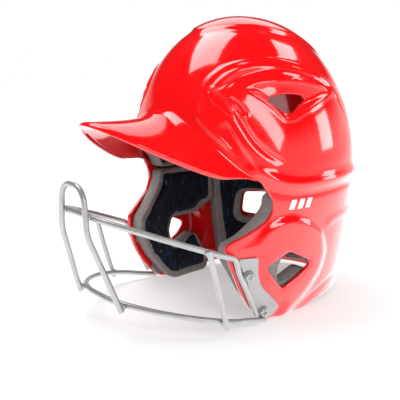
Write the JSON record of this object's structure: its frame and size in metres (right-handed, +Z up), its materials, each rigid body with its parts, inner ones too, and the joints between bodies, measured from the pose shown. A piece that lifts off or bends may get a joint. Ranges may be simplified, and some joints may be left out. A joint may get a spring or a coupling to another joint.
{
  "type": "batting helmet with face guard",
  "caption": "Glossy hard-shell batting helmet with an arched brim, ear flaps on both sides, padded lining, vents and a wire face guard screwed to the flaps.",
  "frame": {"origin": "bottom centre of the overall box, at the level of the ear flaps' feet", "axes": "+Z up, -Y the way the wearer faces, +X the wearer's left"},
  "size_m": [0.1964, 0.2901, 0.2574],
  "materials": {
    "shell": "high gloss, moulded colour",
    "foam": "matt closed-cell foam",
    "lining": "black knitted lining flecked with navy",
    "guard": "satin silver powder coat",
    "screw": "plated",
    "mark": "white transfer film"
  },
  "bodies": {
    "root": {"shell": "shell", "brow_pad": "foam", "brow_pad_cover": "lining", "crown_pad": "foam", "crown_pad_cover": "lining", "left_temple_pad": "foam", "left_temple_pad_cover": "lining", "right_temple_pad": "foam", "right_temple_pad_cover": "lining", "left_jaw_pad": "foam", "left_jaw_pad_cover": "lining", "right_jaw_pad": "foam", "right_jaw_pad_cover": "lining", "left_rear_pad": "foam", "left_rear_pad_cover": "lining", "right_rear_pad": "foam", "right_rear_pad_cover": "lining", "top_wire": "guard", "bottom_wire": "guard", "centre_hoop": "guard", "left_side_bar": "guard", "right_side_bar": "guard", "left_side_plate": "guard", "right_side_plate": "guard", "guard_screws": "screw", "cup_washers": "screw", "tee_nuts": "screw", "left_side_mark": "mark", "right_side_mark": "mark"}
  },
  "joints": []
}
